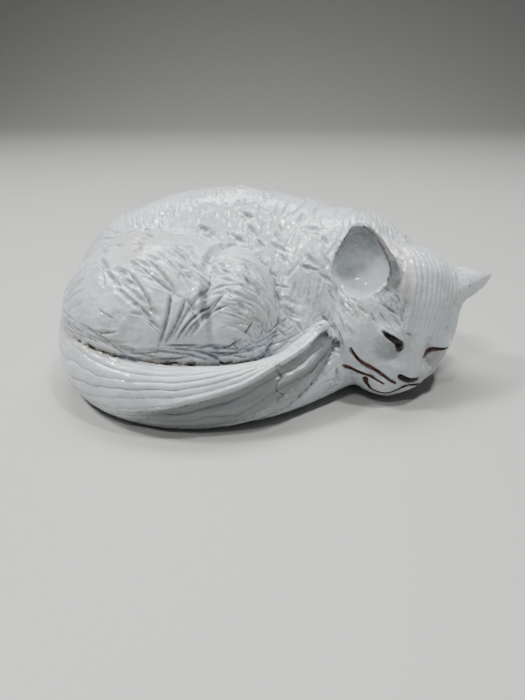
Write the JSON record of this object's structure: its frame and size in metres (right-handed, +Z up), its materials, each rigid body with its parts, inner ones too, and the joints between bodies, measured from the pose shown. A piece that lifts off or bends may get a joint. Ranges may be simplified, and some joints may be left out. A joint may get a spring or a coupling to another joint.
{
  "type": "ceramic cat figurine",
  "caption": "Hand-built hollow white-glazed ceramic figurine of a sleeping cat, curled on its side with its tail round the front and its chin near the table.",
  "frame": {"origin": "on the table under the middle of the body, in the plane of the flat base", "axes": "+X towards the cat's head end, -Y towards the side that shows the face, tail and hind leg, +Z up"},
  "size_m": [0.2309, 0.1528, 0.0935],
  "materials": {
    "white_glaze": "thick glossy white tin glaze over scratched clay, grey where it pools in the grooves",
    "oxide_slip": "brown-black iron oxide laid in cut lines, under a gloss glaze",
    "bare_clay": "matt unglazed stoneware"
  },
  "bodies": {
    "root": {"body_shell": "white_glaze", "bottom_slab": "bare_clay", "hind_leg": "white_glaze", "tail": "white_glaze", "foreleg": "white_glaze", "neck": "white_glaze", "head_shell": "white_glaze", "right_ear": "white_glaze", "left_ear": "white_glaze", "right_eye_line": "oxide_slip", "left_eye_line": "oxide_slip", "nose": "oxide_slip", "mouth_line": "oxide_slip", "upper_cheek_line": "oxide_slip", "lower_cheek_line": "oxide_slip"}
  },
  "joints": []
}
